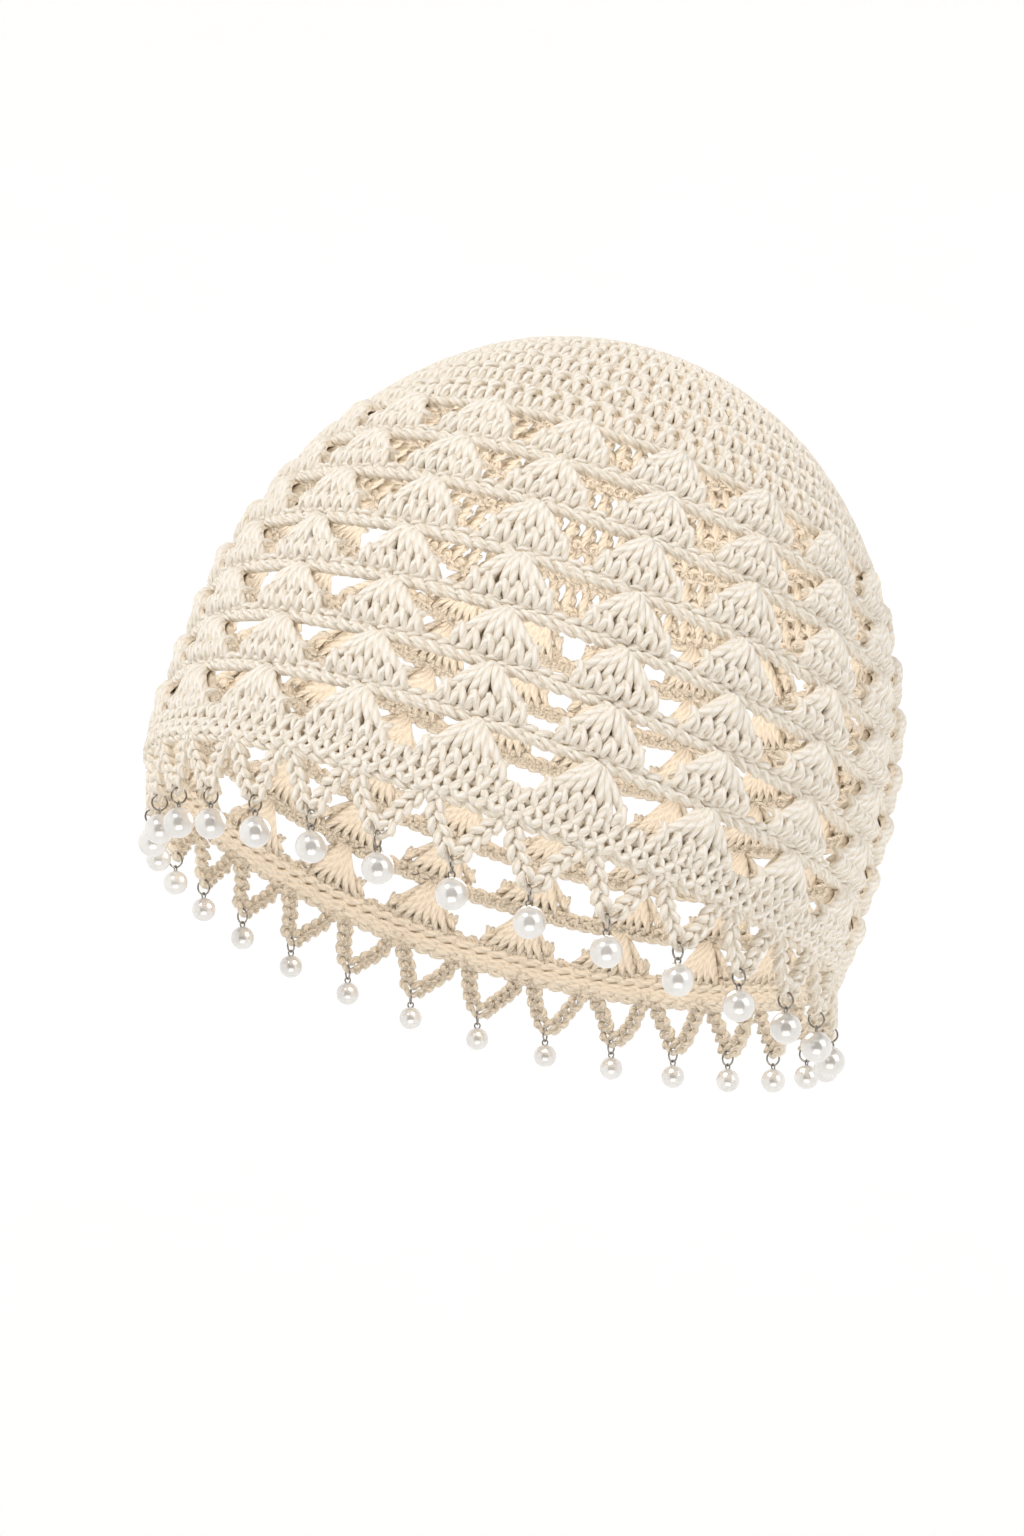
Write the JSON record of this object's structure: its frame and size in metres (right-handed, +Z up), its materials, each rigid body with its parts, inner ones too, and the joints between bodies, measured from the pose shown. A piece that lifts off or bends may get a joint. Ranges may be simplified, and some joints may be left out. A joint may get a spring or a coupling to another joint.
{
  "type": "crochet cap",
  "caption": "Open-work crocheted cotton cap with a close round crown, fan-stitch rounds, a plain rim band and a looped edge hung with pearl drops, held at the tilt it is worn at.",
  "frame": {"origin": "inner face of the crown at the cap's pole, where the crown rests on the head", "axes": "+Z up, front of the cap towards -Y, the cap's own axis leaning back towards +Y as it is worn"},
  "size_m": [0.1876, 0.1953, 0.1958],
  "materials": {
    "yarn": "matte twisted ecru cotton yarn",
    "pearl": "glossy white imitation pearl on silver-coloured wire"
  },
  "bodies": {
    "root": {"crown": "yarn", "fan_round_1": "yarn", "fan_round_2": "yarn", "fan_round_3": "yarn", "fan_round_4": "yarn", "fan_round_5": "yarn", "fan_round_6": "yarn", "fan_round_7": "yarn", "rim_band": "yarn", "looped_edge": "yarn", "pearl_drop_01": "pearl", "pearl_drop_02": "pearl", "pearl_drop_03": "pearl", "pearl_drop_04": "pearl", "pearl_drop_05": "pearl", "pearl_drop_06": "pearl", "pearl_drop_07": "pearl", "pearl_drop_08": "pearl", "pearl_drop_09": "pearl", "pearl_drop_10": "pearl", "pearl_drop_11": "pearl", "pearl_drop_12": "pearl", "pearl_drop_13": "pearl", "pearl_drop_14": "pearl", "pearl_drop_15": "pearl", "pearl_drop_16": "pearl", "pearl_drop_17": "pearl", "pearl_drop_18": "pearl", "pearl_drop_19": "pearl", "pearl_drop_20": "pearl", "pearl_drop_21": "pearl", "pearl_drop_22": "pearl", "pearl_drop_23": "pearl", "pearl_drop_24": "pearl", "pearl_drop_25": "pearl", "pearl_drop_26": "pearl", "pearl_drop_27": "pearl", "pearl_drop_28": "pearl", "pearl_drop_29": "pearl", "pearl_drop_30": "pearl"}
  },
  "joints": []
}
